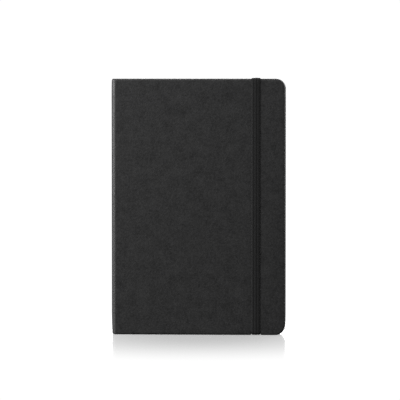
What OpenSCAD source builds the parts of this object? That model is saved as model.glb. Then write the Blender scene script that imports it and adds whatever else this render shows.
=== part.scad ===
// Pocket notebook: a hard cover around a block of sewn signatures, held shut by an elastic band.
// It stands on its tail edge. +X runs from the spine to the fore edge, -Y is the way the front
// cover faces, and +Z runs from tail to head. The origin is at the centre of the base.
//
// Inside the modules, x is measured from the spine's outer face, y from the front cover's outer
// face and z from the tail edge. in_place() moves that frame to the origin.

/* [Cover] */
// Width of the cover, spine to fore edge
cover_w = 95; // [80:1:120]
// Height of the cover, tail to head
cover_h = 140; // [110:1:180]
// Radius of the two corners at the fore edge
corner_r = 5.5; // [3:0.5:8]
// Thickness of the front and back boards
board_t = 1.8; // [1.4:0.1:2.4]
// Thickness of the covering material
skin_t = 0.5; // [0.3:0.1:0.6]
// Radius of the two long shoulders along the spine
shoulder_r = 1.7; // [1.4:0.1:1.8]

/* [Pages] */
// Number of sewn signatures
signatures = 12; // [6:2:16]
// Space that one signature takes in the block
signature_pitch = 0.8; // [0.6:0.1:1]
// How far the cover stands past the pages at head, tail and fore edge
square_w = 3; // [2:0.5:4]
// Thickness of an endpaper sheet
endpaper_t = 0.12; // [0.1:0.01:0.16]

/* [Elastic band] */
// Width of the band
band_w = 5; // [3:0.5:8]
// Thickness of the band under tension
band_t = 0.6; // [0.4:0.1:1]
// Distance from the spine's outer face to the middle of the band
band_x = 78.9; // [60:0.1:84]
// Length of each end that is glued inside the back cover
band_tab_l = 18; // [10:1:30]

/* [Hidden] */
$fn = 64;
slack = 0.02;           // free space between neighbouring loose sheets
play = 0.1;             // side clearance of the band in its dents and recesses
turn_in_w = 12;         // how far the covering material is folded over the inner face
turn_in_t = 0.25;       // thickness that it is pressed to there
pastedown_t = 0.15;     // endpaper and its glue
spine_board_t = 1.2;
lining_t = 0.2;         // paper glued to the inside of the spine
mull_t = 0.2;           // open cloth glued over the folds
mull_inset = 12;        // the mull stops this far short of the pages' head and tail
thread_r = 0.15;
thread_rows = 6;        // sewing stations along the spine
fold_l = 3.4;           // length over which a signature narrows to its fold
fold_half_t = 0.05;     // half the thickness at the fold itself
headband_r = 0.65;
headband_tail_l = 8;
flyleaf_gap = 0.6;      // each flyleaf starts this far out from the folds, glued to its neighbour

board_y1 = skin_t + board_t;                    // inner face of the front board
cover_t = board_y1 + pastedown_t;               // thickness of one finished cover
leaf_pitch = endpaper_t + slack;
book_t = 2 * cover_t + 2 * leaf_pitch + signatures * signature_pitch;
signature_t = signature_pitch - slack;
fold_x = cover_t + endpaper_t / 2 + 0.1;        // the line of folds: lets the leaves lie flat on an open cover
page_x1 = cover_w - square_w;
page_z0 = square_w;
page_z1 = cover_h - square_w;
page_corner_r = corner_r - 0.5;
spine_board_x1 = skin_t + spine_board_t;
lining_x1 = spine_board_x1 + lining_t;
mull_x1 = lining_x1 + mull_t;
thread_x = (mull_x1 + fold_x) / 2;
band_z1 = cover_h + band_t;                     // top of the band where it crosses the head
band_anchor_y = book_t - board_y1 + band_t / 2; // middle of the band where it leaves the back cover

function two_digits(n) = n < 10 ? str("0", n) : str(n);
function signature_name(k) = str("signature_", two_digits(k));
function signature_y(k) = cover_t + leaf_pitch + (k - 0.5) * signature_pitch;

// ---- helpers ----

// Moves the book's own frame so that the origin is at the centre of its base.
module in_place() {
    translate([-cover_w / 2, -(book_t - band_t) / 2, 0]) children();
}

// Swaps front for back: children drawn for the front cover land on the back cover.
module as_back() {
    translate([0, book_t, 0]) mirror([0, 1, 0]) children();
}

// Swaps head for tail.
module as_tail() {
    translate([0, 0, cover_h]) mirror([0, 0, 1]) children();
}

// A sheet or board parallel to the cover: children are its face, drawn in x and z.
module plate(y0, t) {
    translate([0, y0 + t, 0]) rotate([90, 0, 0]) linear_extrude(t) children();
}

// A rectangle whose two fore-edge corners are rounded.
module leaf_face(x0, x1, z0, z1, r) {
    translate([x0, z0]) square([x1 - x0 - r, z1 - z0]);
    translate([x0, z0 + r]) square([x1 - x0, z1 - z0 - 2 * r]);
    for (z = [z0 + r, z1 - r]) translate([x1 - r, z]) circle(r);
}

// The face of a cover, or of its board when inset: a dent in the tail edge takes the band.
module cover_face(x0, inset) {
    difference() {
        leaf_face(x0, cover_w - inset, inset, cover_h - inset, corner_r - inset);
        translate([band_x - band_w / 2 - play - inset, inset - 1])
            square([band_w + 2 * play + 2 * inset, band_t + 1]);
    }
}

// The full board, cut back by the thickness of the turned-in covering along three edges.
module board_solid(x0) {
    plate(skin_t, board_t - turn_in_t) cover_face(x0, skin_t);
    plate(board_y1 - turn_in_t - 0.01, turn_in_t + 0.01)
        leaf_face(x0, cover_w - turn_in_w, turn_in_w, cover_h - turn_in_w, corner_r);
}

// The two recesses that take the band's glued ends, open at head and tail.
module tab_recesses(side_play) {
    w = band_w + 2 * side_play;
    for (z = [-1, cover_h - band_tab_l])
        translate([band_x - w / 2, book_t - board_y1 - 1, z])
            cube([w, band_t + 1, band_tab_l + 1]);
}

// ---- the two covers ----

module front_board() {
    color("tan") board_solid(shoulder_r);
}

module cover_skin() {
    difference() {
        plate(0, board_y1) cover_face(shoulder_r, 0);
        board_solid(shoulder_r - 1);
    }
}

module front_cover_skin() {
    color([0.17, 0.17, 0.17]) cover_skin();
}

module pastedown() {
    plate(board_y1, pastedown_t)
        leaf_face(shoulder_r + 0.3, page_x1, page_z0, page_z1, page_corner_r);
}

module front_pastedown() {
    color("ivory") pastedown();
}

module back_board() {
    color("tan") difference() {
        as_back() board_solid(shoulder_r);
        tab_recesses(play);
    }
}

module back_cover_skin() {
    color([0.17, 0.17, 0.17]) difference() {
        as_back() cover_skin();
        tab_recesses(play);
    }
}

module back_pastedown() {
    color("ivory") as_back() pastedown();
}

// ---- the spine ----

// The flexible quarter round between a cover and the spine.
module joint_skin() {
    translate([shoulder_r, shoulder_r, 0]) intersection() {
        difference() {
            cylinder(h = cover_h, r = shoulder_r);
            translate([0, 0, -1]) cylinder(h = cover_h + 2, r = shoulder_r - skin_t);
        }
        translate([-shoulder_r, -shoulder_r, 0]) cube([shoulder_r, shoulder_r, cover_h]);
    }
}

module front_joint_skin() {
    color([0.17, 0.17, 0.17]) joint_skin();
}

module back_joint_skin() {
    color([0.17, 0.17, 0.17]) as_back() joint_skin();
}

module spine_board() {
    color("tan") translate([skin_t, cover_t, skin_t])
        cube([spine_board_t, book_t - 2 * cover_t, cover_h - 2 * skin_t]);
}

// The covering wraps the spine board's two ends and lies flush with its inner face there.
module spine_skin() {
    color([0.17, 0.17, 0.17]) union() {
        translate([0, shoulder_r, 0]) cube([skin_t, book_t - 2 * shoulder_r, cover_h]);
        for (z = [0, cover_h - skin_t])
            translate([0, cover_t, z]) cube([spine_board_x1, book_t - 2 * cover_t, skin_t]);
    }
}

module spine_lining() {
    color("wheat") translate([spine_board_x1, cover_t + 0.2, page_z0])
        cube([lining_t, book_t - 2 * cover_t - 0.4, page_z1 - page_z0]);
}

module mull_cloth() {
    color("white") translate([lining_x1, cover_t + 0.2, page_z0 + mull_inset])
        cube([mull_t, book_t - 2 * cover_t - 0.4, page_z1 - page_z0 - 2 * mull_inset]);
}

// One stitch across all the folds at each sewing station.
module sewing_thread() {
    first = signature_y(1);
    step = (page_z1 - page_z0) / thread_rows;
    color("white") for (i = [0:thread_rows - 1])
        translate([thread_x, first, page_z0 + (i + 0.5) * step])
            rotate([-90, 0, 0]) cylinder(h = signature_y(signatures) - first, r = thread_r);
}

// A bead across the end of the folds, on a tape that is glued to the spine.
module headband() {
    y0 = cover_t + 0.3;
    w = book_t - 2 * y0;
    bead_z = page_z1 + 0.1 + headband_r;
    translate([lining_x1 + headband_r, y0, bead_z]) rotate([-90, 0, 0]) cylinder(h = w, r = headband_r);
    translate([lining_x1, y0, page_z1 - headband_tail_l])
        cube([mull_t, w, bead_z - page_z1 + headband_tail_l]);
}

module headband_head() {
    color([0.15, 0.15, 0.15]) headband();
}

module headband_tail() {
    color([0.15, 0.15, 0.15]) as_tail() headband();
}

// ---- the pages ----

module flyleaf() {
    plate(cover_t + slack / 2, endpaper_t)
        leaf_face(fold_x + flyleaf_gap, page_x1, page_z0, page_z1, page_corner_r);
}

module front_flyleaf() {
    color("ivory") flyleaf();
}

module back_flyleaf() {
    color("ivory") as_back() flyleaf();
}

// Folded sheets sewn through the fold: the stack narrows to the fold at the spine.
module signature(k) {
    color("ivory") translate([0, signature_y(k), 0]) intersection() {
        plate(-signature_t / 2, signature_t)
            leaf_face(fold_x, page_x1, page_z0, page_z1, page_corner_r);
        linear_extrude(cover_h) polygon([
            [fold_x, -fold_half_t], [fold_x + fold_l, -signature_t / 2],
            [cover_w, -signature_t / 2], [cover_w, signature_t / 2],
            [fold_x + fold_l, signature_t / 2], [fold_x, fold_half_t]]);
    }
}

// ---- the elastic band ----

// The ends of the band, glued between the back board and its pastedown.
module elastic_end_tabs() {
    color([0.12, 0.12, 0.12]) for (z = [band_t, cover_h - band_tab_l])
        translate([band_x - band_w / 2, book_t - board_y1, z])
            cube([band_w, band_t, z > band_t ? band_tab_l : band_tab_l - band_t]);
}

// The free part: over the head, down the front cover and back under the tail.
module elastic_band() {
    y1 = band_anchor_y + band_t / 2;
    color([0.12, 0.12, 0.12]) translate([band_x - band_w / 2, 0, 0])
        rotate([90, 0, 90]) linear_extrude(band_w) difference() {
            union() {
                for (z = [band_t, band_z1 - band_t]) translate([0, z]) circle(band_t);
                translate([-band_t, band_t]) square([band_t, band_z1 - 2 * band_t]);
                square([y1, band_z1]);
            }
            translate([0, band_t]) square([y1 + 1, cover_h - band_t]);
        }
}

// ---- each node, drawn on its own or all together ----

in_place() front_board();
in_place() front_cover_skin();
in_place() front_pastedown();
in_place() front_joint_skin();
in_place() spine_skin();
in_place() spine_board();
in_place() spine_lining();
in_place() mull_cloth();
in_place() sewing_thread();
in_place() headband_head();
in_place() headband_tail();
in_place() back_joint_skin();
in_place() back_board();
in_place() back_cover_skin();
in_place() back_pastedown();
in_place() elastic_end_tabs();
in_place() elastic_band();
in_place() front_flyleaf();
for (k = [1:signatures])
    in_place() signature(k);
in_place() back_flyleaf();
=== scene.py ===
import math
import random

import bmesh
import bpy
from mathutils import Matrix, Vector


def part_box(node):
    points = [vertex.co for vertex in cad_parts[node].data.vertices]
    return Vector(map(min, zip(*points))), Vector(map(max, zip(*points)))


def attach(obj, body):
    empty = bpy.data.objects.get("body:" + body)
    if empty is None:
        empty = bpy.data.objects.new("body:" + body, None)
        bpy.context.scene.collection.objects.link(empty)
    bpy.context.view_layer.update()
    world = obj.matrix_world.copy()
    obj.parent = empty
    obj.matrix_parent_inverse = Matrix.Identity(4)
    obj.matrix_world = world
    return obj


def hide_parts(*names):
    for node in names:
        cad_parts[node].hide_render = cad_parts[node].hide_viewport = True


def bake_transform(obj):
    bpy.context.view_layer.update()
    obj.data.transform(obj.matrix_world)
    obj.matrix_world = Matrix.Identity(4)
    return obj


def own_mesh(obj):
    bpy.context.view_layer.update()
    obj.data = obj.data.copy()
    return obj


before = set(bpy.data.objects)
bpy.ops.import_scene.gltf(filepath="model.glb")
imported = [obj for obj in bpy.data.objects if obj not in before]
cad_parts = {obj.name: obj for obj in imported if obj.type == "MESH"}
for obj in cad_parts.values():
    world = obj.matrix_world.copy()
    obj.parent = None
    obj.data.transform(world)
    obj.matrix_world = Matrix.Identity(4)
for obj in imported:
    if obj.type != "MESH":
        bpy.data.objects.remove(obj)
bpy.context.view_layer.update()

# Looks of a hard-cover pocket notebook that stands on its tail edge. Shapes are worked out in mm as
# (u, v, w): u runs from the spine's outer face to the fore edge, v from the front cover's outer face
# to the back cover's, and w from the tail edge to the head.
random.seed(7)
MM = 0.001

# ---------------------------------------------------------------- sizes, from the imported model, in mm
spine_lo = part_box("spine_skin")[0]
front_lo, front_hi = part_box("front_cover_skin")
back_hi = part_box("back_cover_skin")[1]
board_lo, board_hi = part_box("front_board")
paste_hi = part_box("front_pastedown")[1]
band_lo, band_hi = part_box("elastic_band")
tab_lo, tab_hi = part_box("elastic_end_tabs")
sig_lo, sig_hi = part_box("signature_01")
fly_lo, fly_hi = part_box("front_flyleaf")
head_lo, head_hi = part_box("headband_head")
lining_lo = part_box("spine_lining")[0]

X0, Y0 = spine_lo[0], front_lo[1]


def in_u(x):
    return (x - X0) / MM


def in_v(y):
    return (y - Y0) / MM


W = in_u(front_hi[0])          # width of the cover
H = front_hi[2] / MM           # height of the cover
T = in_v(back_hi[1])           # thickness of the closed notebook
MID = H / 2
BOARD_V = in_v(board_hi[1])    # inner face of the front board
COVER_T = in_v(paste_hi[1])    # inner face of the front pastedown
SHOULDER = in_u(front_lo[0])   # where the front cover's rigid covering starts
SKIN = in_v(board_lo[1])       # thickness of the covering
PAGE_U1 = in_u(sig_hi[0])      # fore edge of the pages
PAGE_W0, PAGE_W1 = sig_lo[2] / MM, sig_hi[2] / MM
FOLD_U = in_u(sig_lo[0])       # back of the folds
CORNER = 5.5                   # radius of a cover's fore-edge corners
PAGE_CORNER = 5.0              # radius of the pages' fore-edge corners
BAND_T = (band_hi[2] - back_hi[2]) / MM
BAND_W = (band_hi[0] - band_lo[0]) / MM
BAND_U = in_u((band_lo[0] + band_hi[0]) / 2)
BAND_V = in_v((tab_lo[1] + tab_hi[1]) / 2)


def B(u, v, w):
    """The point in Blender's metres."""
    return Vector((X0 + u * MM, Y0 + v * MM, w * MM))


def radians(*degrees):
    return [math.radians(d) for d in degrees]


# ---------------------------------------------------------------- mesh helpers
def new_piece(name, verts, faces, material, sharp_deg):
    """A smooth mesh object, with edges steeper than sharp_deg kept sharp."""
    mesh = bpy.data.meshes.new(name)
    mesh.from_pydata([B(*p) for p in verts], [], faces)
    bm = bmesh.new()
    bm.from_mesh(mesh)
    bmesh.ops.recalc_face_normals(bm, faces=bm.faces)
    for f in bm.faces:
        f.smooth = True
    for e in bm.edges:
        if len(e.link_faces) == 2 and e.calc_face_angle(0) > math.radians(sharp_deg):
            e.smooth = False
    bm.to_mesh(mesh)
    bm.free()
    obj = bpy.data.objects.new(name, mesh)
    bpy.context.scene.collection.objects.link(obj)
    mesh.materials.append(material)
    return obj


def loft(rings, closed=True, caps=True):
    """Faces between rings of equally many points. Returns the vertices and faces."""
    n = len(rings[0])
    verts = [p for r in rings for p in r]
    faces = []
    for i in range(len(rings) - 1):
        for j in range(n if closed else n - 1):
            k = (j + 1) % n
            faces.append((i * n + j, i * n + k, (i + 1) * n + k, (i + 1) * n + j))
    if caps:
        faces.append(tuple(range(n)))
        faces.append(tuple((len(rings) - 1) * n + j for j in reversed(range(n))))
    return verts, faces


def merge(parts):
    verts, faces = [], []
    for v, f in parts:
        base = len(verts)
        verts += list(v)
        faces += [tuple(i + base for i in face) for face in f]
    return verts, faces


def mirrored(verts, to_back=False, to_tail=False):
    """The same points on the back cover's side, at the tail, or both."""
    if to_back:
        verts = [(u, T - v, w) for u, v, w in verts]
    if to_tail:
        verts = [(u, v, H - w) for u, v, w in verts]
    return verts


# ---------------------------------------------------------------- material helpers
class Nodes:
    """A material, and short calls for the nodes that it is made of."""

    def __init__(self, name):
        self.mat = bpy.data.materials.new(name)
        self.mat.use_nodes = True
        self.tree = self.mat.node_tree
        self.bsdf = self.tree.nodes["Principled BSDF"]
        self.coord = self.add("ShaderNodeTexCoord").outputs["Object"]
        self.last_normal = None

    def add(self, kind, **values):
        node = self.tree.nodes.new(kind)
        for key, value in values.items():
            if key in node.inputs:
                node.inputs[key].default_value = value
            else:
                setattr(node, key, value)
        return node

    def link(self, a, b):
        self.tree.links.new(a, b)

    def scaled(self, scale):
        m = self.add("ShaderNodeMapping", Scale=scale)
        self.link(self.coord, m.inputs["Vector"])
        return m.outputs["Vector"]

    def noise(self, scale, detail=4.0, rough=0.55, vector=None):
        n = self.add("ShaderNodeTexNoise", Scale=scale, Detail=detail, Roughness=rough)
        self.link(vector or self.coord, n.inputs["Vector"])
        return n.outputs["Fac"]

    def voronoi(self, scale, feature="F1", vector=None, randomness=1.0):
        n = self.add("ShaderNodeTexVoronoi", feature=feature, Scale=scale, Randomness=randomness)
        self.link(vector or self.coord, n.inputs["Vector"])
        return n.outputs["Distance"]

    def wave(self, scale, direction="Z", vector=None, distortion=0.0, detail=0.0):
        n = self.add("ShaderNodeTexWave", Scale=scale, Distortion=distortion, Detail=detail)
        n.bands_direction = direction
        self.link(vector or self.coord, n.inputs["Vector"])
        return n.outputs["Fac"]

    def math(self, op, a, b):
        n = self.add("ShaderNodeMath", operation=op)
        for i, s in enumerate((a, b)):
            if isinstance(s, (int, float)):
                n.inputs[i].default_value = s
            else:
                self.link(s, n.inputs[i])
        return n.outputs[0]

    def weighted(self, *parts):
        """The sum of the given outputs, each times its weight."""
        total = None
        for output, weight in parts:
            share = self.math("MULTIPLY", output, weight)
            total = share if total is None else self.math("ADD", total, share)
        return total

    def ramp(self, fac, *stops):
        n = self.add("ShaderNodeValToRGB")
        e = n.color_ramp.elements
        while len(e) < len(stops):
            e.new(0.5)
        for item, (pos, col) in zip(e, stops):
            item.position = pos
            item.color = (*col, 1)
        self.link(fac, n.inputs["Fac"])
        return n.outputs["Color"]

    def span(self, fac, lo, hi, fac_lo=0.3, fac_hi=0.7):
        n = self.add("ShaderNodeMapRange")
        for key, value in (("From Min", fac_lo), ("From Max", fac_hi), ("To Min", lo), ("To Max", hi)):
            n.inputs[key].default_value = value
        self.link(fac, n.inputs["Value"])
        return n.outputs["Result"]

    def bump(self, height, strength, distance):
        """A bump on top of the bumps so far, its distance in metres."""
        n = self.add("ShaderNodeBump", Strength=strength, Distance=distance)
        self.link(height, n.inputs["Height"])
        if self.last_normal:
            self.link(self.last_normal, n.inputs["Normal"])
        self.last_normal = n.outputs["Normal"]
        self.link(n.outputs["Normal"], self.bsdf.inputs["Normal"])

    def to(self, socket, output):
        self.link(output, self.bsdf.inputs[socket])

    def even(self, **values):
        """Values that are the same all over the surface, with _ for a space in a socket's name."""
        for key, value in values.items():
            self.bsdf.inputs[key.replace("_", " ")].default_value = value


def make_cover_material():
    """Black leather-grained covering."""
    n = Nodes("cover_material")
    fine = n.voronoi(2600.0, "SMOOTH_F1")
    coarse = n.voronoi(1150.0, "F1", randomness=0.9)
    pores = n.noise(5200.0, 3.0, 0.6)
    mottle = n.noise(150.0, 5.0, 0.6)
    broad = n.noise(22.0, 3.0, 0.5)
    speck = n.noise(950.0, 4.0, 0.65)
    tone = n.weighted((mottle, 0.22), (broad, 0.15), (speck, 0.63))
    dark, mid, light = (0.0059, 0.0059, 0.0060), (0.0075, 0.0075, 0.0077), (0.0094, 0.0094, 0.0096)
    n.to("Base Color", n.ramp(tone, (0.34, dark), (0.5, mid), (0.66, light)))
    n.to("Roughness", n.span(n.weighted((speck, 0.6), (mottle, 0.4)), 0.40, 0.60, 0.35, 0.65))
    n.bump(coarse, 0.30, 0.00009)
    n.bump(fine, 0.3, 0.00005)
    n.bump(pores, 0.25, 0.00003)
    n.even(Specular_IOR_Level=0.42)
    return n.mat


def make_paper(name, light, mid, dark, leaves=False):
    """Uncoated paper. A block of leaves has a sheet_tone attribute that tells its sheets apart."""
    n = Nodes(name)
    fibre = n.noise(900.0, 6.0, 0.7)
    cloud = n.noise(35.0, 4.0, 0.5)
    tone = n.weighted((fibre, 0.45), (cloud, 0.55))
    if leaves:
        sheet = n.add("ShaderNodeAttribute", attribute_name="sheet_tone").outputs["Fac"]
        tone = n.weighted((tone, 0.6), (sheet, 0.4))
    n.to("Base Color", n.ramp(tone, (0.3, dark), (0.5, mid), (0.7, light)))
    n.even(Roughness=0.92, Specular_IOR_Level=0.25)
    n.bump(n.noise(2000.0, 4.0, 0.6), 0.25, 0.00003)
    return n.mat


def make_elastic():
    """Woven elastic: cords along the band, and picks across them."""
    n = Nodes("elastic")
    picks = n.wave(1240.0, "DIAGONAL", n.scaled((0.0, 1.0, 1.0)), 0.6, 1.0)
    cords = n.wave(640.0, "X", None, 0.2, 1.0)
    fuzz = n.noise(3500.0, 5.0, 0.7)
    tone = n.weighted((picks, 0.35), (fuzz, 0.65))
    dark, mid, light = (0.0014, 0.0014, 0.0015), (0.0030, 0.0030, 0.0031), (0.0065, 0.0065, 0.0067)
    n.to("Base Color", n.ramp(tone, (0.25, dark), (0.55, mid), (0.85, light)))
    n.to("Roughness", n.span(fuzz, 0.62, 0.8))
    n.bump(picks, 0.5, 0.00006)
    n.bump(cords, 0.25, 0.00004)
    n.bump(fuzz, 0.4, 0.00003)
    n.even(Specular_IOR_Level=0.19, Sheen_Weight=0.025, Sheen_Roughness=0.5)
    return n.mat


def make_weave(name, light, dark, pitch):
    """Threads that cross at right angles."""
    n = Nodes(name)
    weave = n.math("MULTIPLY", n.wave(pitch, "Z", None, 0.4, 1.0), n.wave(pitch, "Y", None, 0.4, 1.0))
    fuzz = n.noise(4000.0, 4.0, 0.6)
    tone = n.weighted((weave, 0.6), (fuzz, 0.4))
    n.to("Base Color", n.ramp(tone, (0.15, dark), (0.7, light)))
    n.even(Roughness=0.85, Specular_IOR_Level=0.3)
    n.bump(weave, 0.6, 0.00006)
    n.bump(fuzz, 0.3, 0.00003)
    return n.mat


def make_board():
    """Grey-brown binder's board."""
    n = Nodes("board")
    chips = n.voronoi(900.0, "F1", n.scaled((1.0, 4.0, 1.0)))
    fibre = n.noise(700.0, 6.0, 0.7, n.scaled((1.0, 5.0, 1.0)))
    tone = n.weighted((chips, 0.4), (fibre, 0.6))
    dark, mid, light = (0.20, 0.165, 0.125), (0.33, 0.28, 0.22), (0.46, 0.41, 0.34)
    n.to("Base Color", n.ramp(tone, (0.25, dark), (0.5, mid), (0.75, light)))
    n.even(Roughness=0.95, Specular_IOR_Level=0.2)
    n.bump(fibre, 0.5, 0.00005)
    return n.mat


COVER = make_cover_material()
PAGE = make_paper("page_paper", (0.86, 0.82, 0.71), (0.80, 0.755, 0.64), (0.66, 0.61, 0.50), leaves=True)
ENDPAPER = make_paper("endpaper", (0.84, 0.80, 0.70), (0.80, 0.755, 0.65), (0.74, 0.695, 0.59))
KRAFT = make_paper("lining_paper", (0.52, 0.42, 0.29), (0.45, 0.36, 0.24), (0.36, 0.28, 0.18))
BOARD = make_board()
ELASTIC = make_elastic()
MULL = make_weave("mull", (0.80, 0.78, 0.70), (0.45, 0.42, 0.36), 400.0)
THREAD = make_weave("thread", (0.82, 0.80, 0.73), (0.60, 0.57, 0.50), 900.0)
HEADBAND = make_weave("headband", (0.035, 0.035, 0.036), (0.010, 0.010, 0.011), 900.0)

for node, mat in (
    ("front_board", BOARD), ("back_board", BOARD), ("spine_board", BOARD),
    ("spine_lining", KRAFT), ("mull_cloth", MULL), ("sewing_thread", THREAD),
    ("elastic_end_tabs", ELASTIC),
):
    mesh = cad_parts[node].data
    mesh.materials.clear()
    mesh.materials.append(mat)

# ---------------------------------------------------------------- covers
EDGE_R = 0.9                   # rounding of a cover's outer edge
INNER_R = 0.45                 # rounding of its inner edge
SEAM_U = 3.4                   # where the rigid cover meets the flexible strip
BOW, BOW_REACH = 0.20, 2.4     # how far the covering falls away at the board's edges, and how quickly
DROOP, DROOP_REACH = 0.10, 1.1  # the same towards the shoulder
FLAT_FROM = 8.0                # inset from which the covering is flat
LEAST_R = 0.6                  # smallest corner radius of an inner ring
CORNER_STEPS = 12
SIDE_STEPS = 8


def bow(inset):
    """The covering falls away slightly towards the edges of the board."""
    return BOW * (math.exp(-inset / BOW_REACH) - math.exp(-FLAT_FROM / BOW_REACH))


def droop(u):
    """The covering falls away slightly towards the shoulder."""
    return DROOP * math.exp(-max(u - 1.2, 0.0) / DROOP_REACH)


# (inset from the edge, depth below the outer face), from the flat outside round the edge to the inside
OUTER = [(i, bow(i)) for i in (8.0, 6.8, 5.6, 4.6, 3.7, 2.9, 2.2, 1.6, 1.2)]
for a in radians(0, 12, 24, 36, 48, 62, 76, 90):
    inset = EDGE_R * (1 - math.sin(a))
    OUTER.append((inset, bow(inset) + EDGE_R * (1 - math.cos(a))))
INNER = [(INNER_R * (1 - math.cos(a)), BOARD_V - INNER_R * (1 - math.sin(a)))
         for a in radians(0, 20, 45, 70, 90)]
PROFILE = OUTER + INNER + [(1.0, BOARD_V), (2.2, BOARD_V)]

# The dent in the tail edges that takes the band: full depth to DENT_FLAT beside the band, none from DENT_END
DENT_FLAT, DENT_END = 0.06, 0.34
DENT_FADE = 5                  # inset at which it has died out
BAND_SIDES = (0.06, 0.13, 0.20, 0.27, 0.34, 0.42)


def dent(u):
    d = abs(u - BAND_U) - BAND_W / 2
    t = min(max((DENT_END - d) / (DENT_END - DENT_FLAT), 0.0), 1.0)
    return BAND_T * t * t * (3 - 2 * t)


# Stations along the head and tail edges, closer together beside the band
EDGE_US = [SEAM_U, 4.2, 5.5, 7.5, 11, 17, 26, 38, 50, 62, 70, 74]
EDGE_US += [BAND_U - (BAND_W / 2 + d) for d in reversed(BAND_SIDES)]
EDGE_US += [BAND_U - 1.2, BAND_U, BAND_U + 1.2]
EDGE_US += [BAND_U + BAND_W / 2 + d for d in BAND_SIDES] + [84, 87, W - CORNER]


def cover_outline(inset, depth):
    """The front cover's outline at an inset and a depth, from the seam at the tail round to the head."""
    share = 1 - depth / BOARD_V
    r = max(CORNER - inset, LEAST_R)
    cu, cw = W - inset - r, inset + r
    fixed = BAND_U + BAND_W / 2 + BAND_SIDES[-1]

    def face(u):
        return depth + droop(u) * share

    def station(u):
        return u if u <= fixed else fixed + (u - fixed) * (cu - fixed) / (W - CORNER - fixed)

    pts = [(station(u), face(u), inset + dent(u) * max(1 - inset / DENT_FADE, 0)) for u in EDGE_US]
    for i in range(1, CORNER_STEPS + 1):
        a = math.radians(-90 + 90 * i / CORNER_STEPS)
        pts.append((cu + r * math.cos(a), face(W), cw + r * math.sin(a)))
    for i in range(1, SIDE_STEPS):
        pts.append((W - inset, face(W), cw + (H - 2 * cw) * i / SIDE_STEPS))
    for i in range(CORNER_STEPS):
        a = math.radians(90 * i / CORNER_STEPS)
        pts.append((cu + r * math.cos(a), face(W), H - cw + r * math.sin(a)))
    return pts + [(station(u), face(u), H - inset) for u in reversed(EDGE_US)]


def make_cover(name, back):
    rings = [cover_outline(i, d) for i, d in PROFILE]
    n = len(rings[0])
    verts, faces = loft(rings, closed=False, caps=False)
    k = len(EDGE_US)
    # The flat outside and inside: a row of faces from tail to head, and one across the fore edge
    for base, flip in ((0, False), ((len(rings) - 1) * n, True)):
        flat = [(base + j, base + j + 1, base + n - 2 - j, base + n - 1 - j) for j in range(k - 1)]
        flat.append(tuple(base + j for j in range(k - 1, n - k + 1)))
        faces += [f[::-1] if flip else f for f in flat]
    # The end at the seam
    tail_side = tuple(i * n for i in range(len(rings)))
    head_side = tuple(i * n + n - 1 for i in reversed(range(len(rings))))
    faces.append(tail_side + head_side)
    return new_piece(name, mirrored(verts, to_back=back), faces, COVER, 50)


front_cover = make_cover("front_covering", False)
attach(front_cover, "front_cover")
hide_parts("front_cover_skin")
back_cover = make_cover("back_covering", True)
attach(back_cover, "back_cover")
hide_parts("back_cover_skin")


# ---------------------------------------------------------------- flexible strips from mid-spine to each cover
SHOULDER_U, SHOULDER_V = 2.3, 2.0   # radii of the shoulder's curve, along u and v
SHOULDER_STEPS = 24


def strip_path():
    """(u, v, nu, nv) along the outer face, with its outward normal."""
    pts = [(0.0, v) for v in (T / 2, 6.6, 5.6, 4.6, 3.8, 3.2, 2.7, 2.3)]
    for i in range(SHOULDER_STEPS + 1):
        a = math.radians(90 * i / SHOULDER_STEPS)
        u = SHOULDER_U * (1 - math.cos(a))
        pts.append((u, SHOULDER_V * (1 - math.sin(a)) + droop(u) * min(1, u / 1.2) ** 2))
    pts += [(u, droop(u)) for u in (2.5, 2.75, 3.0, 3.2, SEAM_U)]
    out = []
    for i, (u, v) in enumerate(pts):
        a = pts[max(i - 1, 0)]
        b = pts[min(i + 1, len(pts) - 1)]
        du, dv = b[0] - a[0], b[1] - a[1]
        length = math.hypot(du, dv)
        out.append((u, v, dv / length, -du / length))
    return out


def make_strip(name, back):
    half = [(i, d) for i, d in OUTER if d <= SKIN]
    half += [(0.2, SKIN + 0.12), (0.5, SKIN + 0.05), (1.2, SKIN), (8.0, SKIN)]
    rings = []
    for u, v, nu, nv in strip_path():
        tail_side = [(u - nu * d, v - nv * d, inset) for inset, d in half]
        head_side = [(u - nu * d, v - nv * d, H - inset) for inset, d in reversed(half)]
        rings.append(tail_side + head_side)
    verts, faces = loft(rings)
    return new_piece(name, mirrored(verts, to_back=back), faces, COVER, 50)


front_strip = make_strip("front_joint_covering", False)
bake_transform(front_strip)
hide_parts("front_joint_skin", "spine_skin")
back_strip = make_strip("back_joint_covering", True)
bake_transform(back_strip)
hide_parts("back_joint_skin", "spine_skin")

# ---------------------------------------------------------------- the covering's turned-in ends
CAP_TURN_IN = 12.0             # how far the covering reaches down the spine board's inner face
COVER_TURN_IN = 11.9           # the same on a cover


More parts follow.
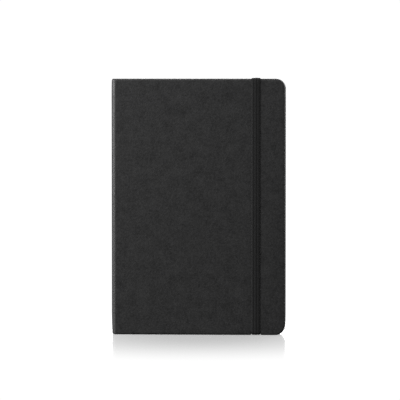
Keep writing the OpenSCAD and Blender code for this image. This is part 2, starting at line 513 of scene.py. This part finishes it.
def make_spine_cap(name, tail):
    """The covering folded over the end of the spine board and down its inner face."""
    board = in_u(lining_lo[0])
    depth = board + 0.12
    low = H - CAP_TURN_IN
    under = PAGE_W1 + 0.02
    profile = [(0.42, low), (0.42, H - 0.13), (0.5, H - 0.094), (0.66, H - 0.035), (0.9, H)]
    profile += [(depth - 0.4, H), (depth - 0.16, H - 0.08), (depth - 0.02, H - 0.3), (depth, H - 0.6)]
    profile += [(depth, under), (board - 0.01, under), (board - 0.01, low)]
    v0, v1 = COVER_T - 0.04, T - COVER_T + 0.04
    # (v, how far the top dips there): rounded at both ends and slightly uneven between
    stations = [(v0, 0.12), (v0 + 0.06, 0.04), (v0 + 0.18, 0.0)]
    stations += [(v0 + 0.18 + (v1 - v0 - 0.36) * i / 12, 0.02 * abs(math.sin(i * 1.7))) for i in range(1, 12)]
    stations += [(v1 - 0.18, 0.0), (v1 - 0.06, 0.04), (v1, 0.12)]
    rings = [[(u, v, w - dip if w > H - 0.5 else w) for u, w in profile] for v, dip in stations]
    verts, faces = loft(rings)
    return new_piece(name, mirrored(verts, to_tail=tail), faces, COVER, 45)


for label, tail in (("spine_head_fold", False), ("spine_tail_fold", True)):
    cap = make_spine_cap(label, tail)
    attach(cap, "spine")
    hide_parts("spine_skin")


def make_turn_in(name, cover, back, tail):
    """The covering folded over the end of a board between the shoulder and the rigid cover."""
    skin = 0.46                    # a little less than SKIN, so that no gap shows under the strip
    outside = [(d, i) for i, d in OUTER if d > skin]
    inside = [(d, i) for i, d in INNER]
    profile = [(skin, COVER_TURN_IN), (skin, outside[0][1] + 0.05)] + outside + inside
    profile.append((BOARD_V, COVER_TURN_IN))
    mid_d = (skin + BOARD_V) / 2
    # (u, how far the section shrinks there): rounded at the shoulder
    stations = [(SHOULDER - 0.05, 0.10), (SHOULDER - 0.01, 0.03), (SHOULDER + 0.08, 0.0)]
    stations += [(2.2, 0.0), (2.8, 0.0), (SEAM_U + 0.02, 0.0)]
    rings = []
    for u, shrink in stations:
        ring = []
        for d, i in profile:
            d = d + droop(u) * (1 - d / BOARD_V)
            ring.append((u, d + (mid_d - d) * shrink, H - i - shrink))
        rings.append(ring)
    verts, faces = loft(rings)
    obj = new_piece(name, mirrored(verts, to_back=back, to_tail=tail), faces, COVER, 50)
    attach(obj, cover)
    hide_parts(cover + "_skin")


for side in ("front", "back"):
    for end in ("head", "tail"):
        make_turn_in(side + "_turn_in_" + end, side + "_cover", side == "back", end == "tail")

# ---------------------------------------------------------------- sheets of paper
LEAF_T = 0.0995
FLYLEAF_T = 0.11
INNERMOST_R = 0.045            # bend radius of a signature's innermost sheet
SHEETS = 4                     # folded sheets in a signature
ACROSS = (0.0, 0.25, 0.5, 0.75, 1.0)
# Distances from the fold at which a sheet has points, closest where it bends
FROM_FOLD = (0.0, 0.5, 1.0, 1.5, 2.0, 2.6, 3.2, 3.9, 4.6, 5.4, 6.2, 7.1, 8.0, 9.2, 10.5, 12.0, 14.0,
             18.0, 26.0, 45.0, 66.0)


def sheet_rings(path, u1, thick, drift=0.0):
    """Sections of a sheet with rounded corners at u1. path is (u, v, nu, nv) along its middle."""
    rings = []
    for u, v, nu, nv in path:
        d = max(min(u, u1) - (u1 - PAGE_CORNER), 0.0)
        cut = PAGE_CORNER - math.sqrt(max(PAGE_CORNER * PAGE_CORNER - d * d, 0.0))
        low, high = PAGE_W0 + cut, PAGE_W1 - cut
        h = thick / 2
        mids = [low + (high - low) * s for s in ACROSS]
        one = [(u + nu * h, v + nv * h, w + drift) for w in mids]
        two = [(u - nu * h, v - nv * h, w + drift) for w in reversed(mids)]
        rings.append(one + two)
    return rings


def straight_us(start, u1):
    """Stations from start to the fore edge at u1, closer together round its corners."""
    return [start + s for s in FROM_FOLD] + [u1 - PAGE_CORNER + PAGE_CORNER * math.sin(math.radians(10 * i))
                                             for i in range(10)]


def make_signature(index):
    """Folded sheets one inside another, each trimmed and shifted by a hair."""
    name = "signature_%02d" % index
    lo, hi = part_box(name)
    mid = in_v((lo[1] + hi[1]) / 2)
    half = (hi[1] - lo[1]) / MM / 2
    step = (half - LEAF_T / 2 - INNERMOST_R) / (SHEETS - 1)
    centre_u = FOLD_U + half
    parts, tones = [], []
    for k in range(SHEETS):
        r = INNERMOST_R + step * k
        tones.append(random.uniform(0.15, 0.90))
        u1 = PAGE_U1 + random.uniform(-0.035, 0.0)
        drift = random.uniform(-0.02, 0.02)
        us = straight_us(centre_u, u1)
        path = [(u, mid + r, 0.0, 1.0) for u in reversed(us)]
        for i in range(1, 8):
            a = math.radians(90 + 180 * i / 8)
            path.append((centre_u + r * math.cos(a), mid + r * math.sin(a), math.cos(a), math.sin(a)))
        path += [(u, mid - r, 0.0, -1.0) for u in us]
        parts.append(loft(sheet_rings(path, u1, LEAF_T, drift)))
    obj = new_piece("leaves_%02d" % index, *merge(parts), PAGE, 40)
    tone = obj.data.attributes.new("sheet_tone", "FLOAT", "POINT")
    tone.data.foreach_set("value", [t for (v, f), t in zip(parts, tones) for _ in v])
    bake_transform(obj)
    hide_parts(name)


for number in range(1, 13):
    make_signature(number)


def make_flyleaf(name, body, back):
    v = in_v((fly_lo[1] + fly_hi[1]) / 2)
    start = FOLD_U + 0.05
    path = [(u, v, 0.0, -1.0) for u in straight_us(start, PAGE_U1)]
    verts, faces = loft(sheet_rings(path, PAGE_U1, FLYLEAF_T))
    if back:
        v = T - v
    obj = new_piece(name, mirrored(verts, to_back=back), faces, ENDPAPER, 40)
    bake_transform(obj)
    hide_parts(body)


make_flyleaf("front_endleaf", "front_flyleaf", False)
make_flyleaf("back_endleaf", "back_flyleaf", True)


def make_pastedown(name, cover, back):
    """The endpaper glued to the cover. It bends over the joint and is glued to the spine's lining too."""
    t = COVER_T - BOARD_V
    mid = BOARD_V + t / 2
    path = [(2.2, 2.95, -1.0, 0.0), (2.2, 2.75, -1.0, 0.0), (2.22, 2.58, -0.95, -0.3)]
    path += [(2.3, 2.45, -0.7, -0.7), (2.42, mid + 0.01, -0.3, -0.95)]
    path += [(2.55 + 0.1 * i, mid, 0.0, -1.0) for i in range(14)]
    path += [(u, mid, 0.0, -1.0) for u in straight_us(4.2, PAGE_U1)]
    verts, faces = loft(sheet_rings(path, PAGE_U1, t * 0.96))
    if back:
        mid = T - mid
    obj = new_piece(name, mirrored(verts, to_back=back), faces, ENDPAPER, 40)
    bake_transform(obj)
    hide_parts(cover.split("_")[0] + "_pastedown")


make_pastedown("front_paste_sheet", "front_cover", False)
make_pastedown("back_paste_sheet", "back_cover", True)


# ---------------------------------------------------------------- headbands
STITCHES = 20
STITCH_STEPS = 8
CORD_SIDES = 16


def make_headband(name, tail):
    """A cord wound with thread, on a tape that is glued to the spine's lining."""
    v0, v1 = in_v(head_lo[1]), in_v(head_hi[1])
    u0 = in_u(head_lo[0])
    r0 = (head_hi[0] - head_lo[0]) / MM / 2
    low, cw = head_lo[2] / MM, head_hi[2] / MM - r0
    rings = []
    count = STITCHES * STITCH_STEPS
    for i in range(count + 1):
        s = i / count
        taper = min(1.0, 0.55 + 6 * min(s, 1 - s))
        ring = []
        for j in range(CORD_SIDES):
            a = 2 * math.pi * j / CORD_SIDES
            phase = s * STITCHES + j / CORD_SIDES * 0.35
            r = r0 * (0.9 + 0.09 * abs(math.sin(math.pi * phase))) * taper
            ring.append((u0 + r0 + r * math.cos(a), v0 + (v1 - v0) * s, cw + r * math.sin(a)))
        rings.append(ring)
    tape = []
    for i in range(11):
        v = v0 + (v1 - v0) * i / 10
        tape.append([(u0, v, low), (u0, v, cw), (u0 + 0.2, v, cw), (u0 + 0.2, v, low)])
    verts, faces = merge([loft(rings), loft(tape)])
    obj = new_piece(name, mirrored(verts, to_tail=tail), faces, HEADBAND, 60)
    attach(obj, "spine")
    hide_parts("headband_tail" if tail else "headband_head")


make_headband("woven_headband_head", False)
make_headband("woven_headband_tail", True)


# ---------------------------------------------------------------- the band
BAND_BEND = 0.35               # radius at which the band turns into its recess in the back board
BAND_TUCK = 0.6                # how far its ends reach into the recess
RIBS = 3
SECTION_STEPS = 42


def arc(centre_v, centre_w, radius, start, turn, steps):
    """(v, w, nv, nw) round an arc, with its outward normal. Angles are in degrees."""
    angles = [math.radians(start + turn * i / steps) for i in range(steps + 1)]
    return [(centre_v + radius * math.cos(a), centre_w + radius * math.sin(a), math.cos(a), math.sin(a))
            for a in angles]


def band_path():
    """(v, w, nv, nw) along the middle of the band, from its exit at the head to its exit at the tail."""
    h = BAND_T / 2
    r = EDGE_R + h
    v_end = BAND_V - BAND_BEND
    high, low = H - EDGE_R, BAND_T + EDGE_R
    pts = [(BAND_V, H - BAND_TUCK, 1.0, 0.0), (BAND_V, H + h - BAND_BEND - 0.02, 1.0, 0.0)]
    pts += arc(v_end, H + h - BAND_BEND, BAND_BEND, 0, 90, 8)
    pts += [(v_end + (EDGE_R - v_end) * i / 12, H + h, 0.0, 1.0) for i in range(1, 12)]
    pts += arc(EDGE_R, high, r, 90, 90, 12)
    pts += [(-h, high + (low - high) * i / 48, -1.0, 0.0) for i in range(1, 48)]
    pts += arc(EDGE_R, low, r, 180, 90, 12)
    pts += [(EDGE_R + (v_end - EDGE_R) * i / 12, h, 0.0, -1.0) for i in range(1, 12)]
    pts += arc(v_end, h + BAND_BEND, BAND_BEND, 270, 90, 8)
    return pts + [(BAND_V, h + BAND_BEND + 0.02, 1.0, 0.0), (BAND_V, BAND_T + BAND_TUCK, 1.0, 0.0)]


def band_section():
    """(x across the band, d outwards from its middle): ribbed and crowned outside, flat inside."""
    width = BAND_W - 0.16
    flat = BAND_T / 2 * 0.97
    outer, inner = [], []
    for i in range(SECTION_STEPS + 1):
        s = i / SECTION_STEPS
        x = (s - 0.5) * width
        rim = min((0.5 - abs(s - 0.5)) * width / 0.45, 1.0)
        rim = 0.12 + 0.88 * math.sqrt(1 - (1 - rim) ** 2)
        rib = 0.74 + 0.26 * abs(math.sin(math.pi * s * RIBS)) ** 0.6
        crown = 1 - 0.38 * (2 * s - 1) ** 2
        outer.append((x, -flat + (BAND_T - 0.06) * crown * rib * rim))
        inner.append((x, -flat))
    return outer + inner[::-1]


def make_band():
    section = band_section()
    rings = [[(BAND_U + x, v + nv * d, w + nw * d) for x, d in section] for v, w, nv, nw in band_path()]
    verts, faces = loft(rings)
    obj = new_piece("elastic_loop", verts, faces, ELASTIC, 70)
    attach(obj, "elastic")
    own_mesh(obj)
    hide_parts("elastic_band")


make_band()

# ---------------------------------------------------------------- floor, light, camera
WHITE = (1, 1, 1, 1)
BRIGHT = 1.03                  # strength of white that the camera sees, a little over full white
FLOOR_REACH = 3.0
FLOOR_DROP = 0.00005           # the floor lies this far below the tail edge
SHEEN_FROM, SHEEN_TO = 0.010, 0.155   # distances over which the floor's reflection fades to plain white
scene = bpy.context.scene


def stage_piece(name, corners, material):
    mesh = bpy.data.meshes.new(name)
    mesh.from_pydata(corners, [], [(0, 1, 2, 3)])
    obj = bpy.data.objects.new(name, mesh)
    scene.collection.objects.link(obj)
    mesh.materials.append(material)
    return obj


def camera_level(tree, seen, otherwise, by_camera, socket):
    """A number that differs between what the camera sees and what lights the object."""
    level = tree.nodes.new("ShaderNodeMix")
    level.data_type = "FLOAT"
    level.inputs["A"].default_value = otherwise
    level.inputs["B"].default_value = by_camera
    tree.links.new(seen.outputs["Is Camera Ray"], level.inputs["Factor"])
    tree.links.new(level.outputs["Result"], socket)


def make_floor_material():
    """Glossy near the notebook, and plain white further away."""
    mat = bpy.data.materials.new("floor")
    mat.use_nodes = True
    tree = mat.node_tree
    gloss = tree.nodes["Principled BSDF"]
    gloss.inputs["Roughness"].default_value = 0.12
    gloss.inputs["Emission Color"].default_value = WHITE
    glow = tree.nodes.new("ShaderNodeEmission")
    seen = tree.nodes.new("ShaderNodeLightPath")
    camera_level(tree, seen, 0.05, BRIGHT, glow.inputs["Strength"])
    camera_level(tree, seen, 0.0, 0.335, gloss.inputs["Emission Strength"])
    camera_level(tree, seen, 0.05, 0.3, gloss.inputs["Base Color"])
    where = tree.nodes.new("ShaderNodeTexCoord")
    reach = tree.nodes.new("ShaderNodeVectorMath")
    reach.operation = "DISTANCE"
    reach.inputs[1].default_value = (0, Y0, 0)
    fade = tree.nodes.new("ShaderNodeMapRange")
    fade.interpolation_type = "SMOOTHSTEP"
    fade.inputs["From Min"].default_value = SHEEN_FROM
    fade.inputs["From Max"].default_value = SHEEN_TO
    both = tree.nodes.new("ShaderNodeMixShader")
    tree.links.new(where.outputs["Object"], reach.inputs[0])
    tree.links.new(reach.outputs["Value"], fade.inputs["Value"])
    tree.links.new(fade.outputs["Result"], both.inputs[0])
    tree.links.new(gloss.outputs["BSDF"], both.inputs[1])
    tree.links.new(glow.outputs["Emission"], both.inputs[2])
    tree.links.new(both.outputs["Shader"], tree.nodes["Material Output"].inputs["Surface"])
    return mat


def make_backdrop_material():
    mat = bpy.data.materials.new("backdrop")
    mat.use_nodes = True
    bsdf = mat.node_tree.nodes["Principled BSDF"]
    bsdf.inputs["Base Color"].default_value = (0, 0, 0, 1)
    bsdf.inputs["Emission Color"].default_value = WHITE
    bsdf.inputs["Emission Strength"].default_value = BRIGHT
    bsdf.inputs["Specular IOR Level"].default_value = 0
    return mat


def make_world():
    """White where the camera sees it, and dim as a light."""
    world = bpy.data.worlds.new("studio")
    scene.world = world
    world.use_nodes = True
    tree = world.node_tree
    background = tree.nodes["Background"]
    background.inputs["Color"].default_value = WHITE
    seen = tree.nodes.new("ShaderNodeLightPath")
    camera_level(tree, seen, 0.10, BRIGHT, background.inputs["Strength"])


def area(name, where, target, width, height, power):
    light = bpy.data.lights.new(name, "AREA")
    light.shape = "RECTANGLE"
    light.size, light.size_y = width, height
    light.energy = power
    obj = bpy.data.objects.new(name, light)
    obj.location = where
    obj.rotation_euler = (Vector(target) - Vector(where)).to_track_quat("-Z", "Y").to_euler()
    scene.collection.objects.link(obj)


def make_camera(azimuth, elevation, distance, view_w, shift_right, shift_up):
    """A camera that sees view_w mm across at the front cover. The two shifts, in mm, move its target."""
    az, el = math.radians(azimuth), math.radians(elevation)
    back = Vector((math.sin(az) * math.cos(el), -math.cos(az) * math.cos(el), math.sin(el)))
    right = Vector((math.cos(az), math.sin(az), 0))
    up = back.cross(right)
    data = bpy.data.cameras.new("camera")
    data.sensor_width = 36.0
    data.lens = data.sensor_width * distance / (view_w * MM)
    data.clip_start, data.clip_end = 0.05, 20
    camera = bpy.data.objects.new("camera", data)
    target = Vector((0, Y0, MID * MM)) + right * (shift_right * MM) + up * (shift_up * MM)
    camera.location = target + back * distance
    camera.rotation_mode = "QUATERNION"
    camera.rotation_quaternion = (-back).to_track_quat("-Z", "Y")
    scene.collection.objects.link(camera)
    scene.camera = camera


near, far = -FLOOR_REACH, FLOOR_REACH
floor_corners = [(near, near, 0), (far, near, 0), (far, far, 0), (near, far, 0)]
floor = stage_piece("floor", floor_corners, make_floor_material())
floor.location.z = -FLOOR_DROP
backdrop_corners = [(-2.5, 1.7, 0), (2.5, 1.7, 0), (2.5, 1.7, 1.6), (-2.5, 1.7, 1.6)]
stage_piece("backdrop", backdrop_corners, make_backdrop_material())

scene.view_settings.view_transform = "Standard"
make_world()
CENTRE = (0, 0, MID * MM)
area("top_soft", (-0.1, -0.3, 1.0), CENTRE, 1.0, 0.6, 5.2)
area("left_strip", (-0.70, -0.40, 0.38), (-0.05, 0, 0.14), 0.60, 0.5, 17)
area("right_fill", (0.9, -0.22, 0.3), CENTRE, 0.4, 0.6, 4.8)
area("back_soft", (0.25, 1.1, 0.5), CENTRE, 1.0, 0.8, 14)
make_camera(2.8, 2.8, 1.5, view_w=218.32, shift_right=0.94, shift_up=3.88)
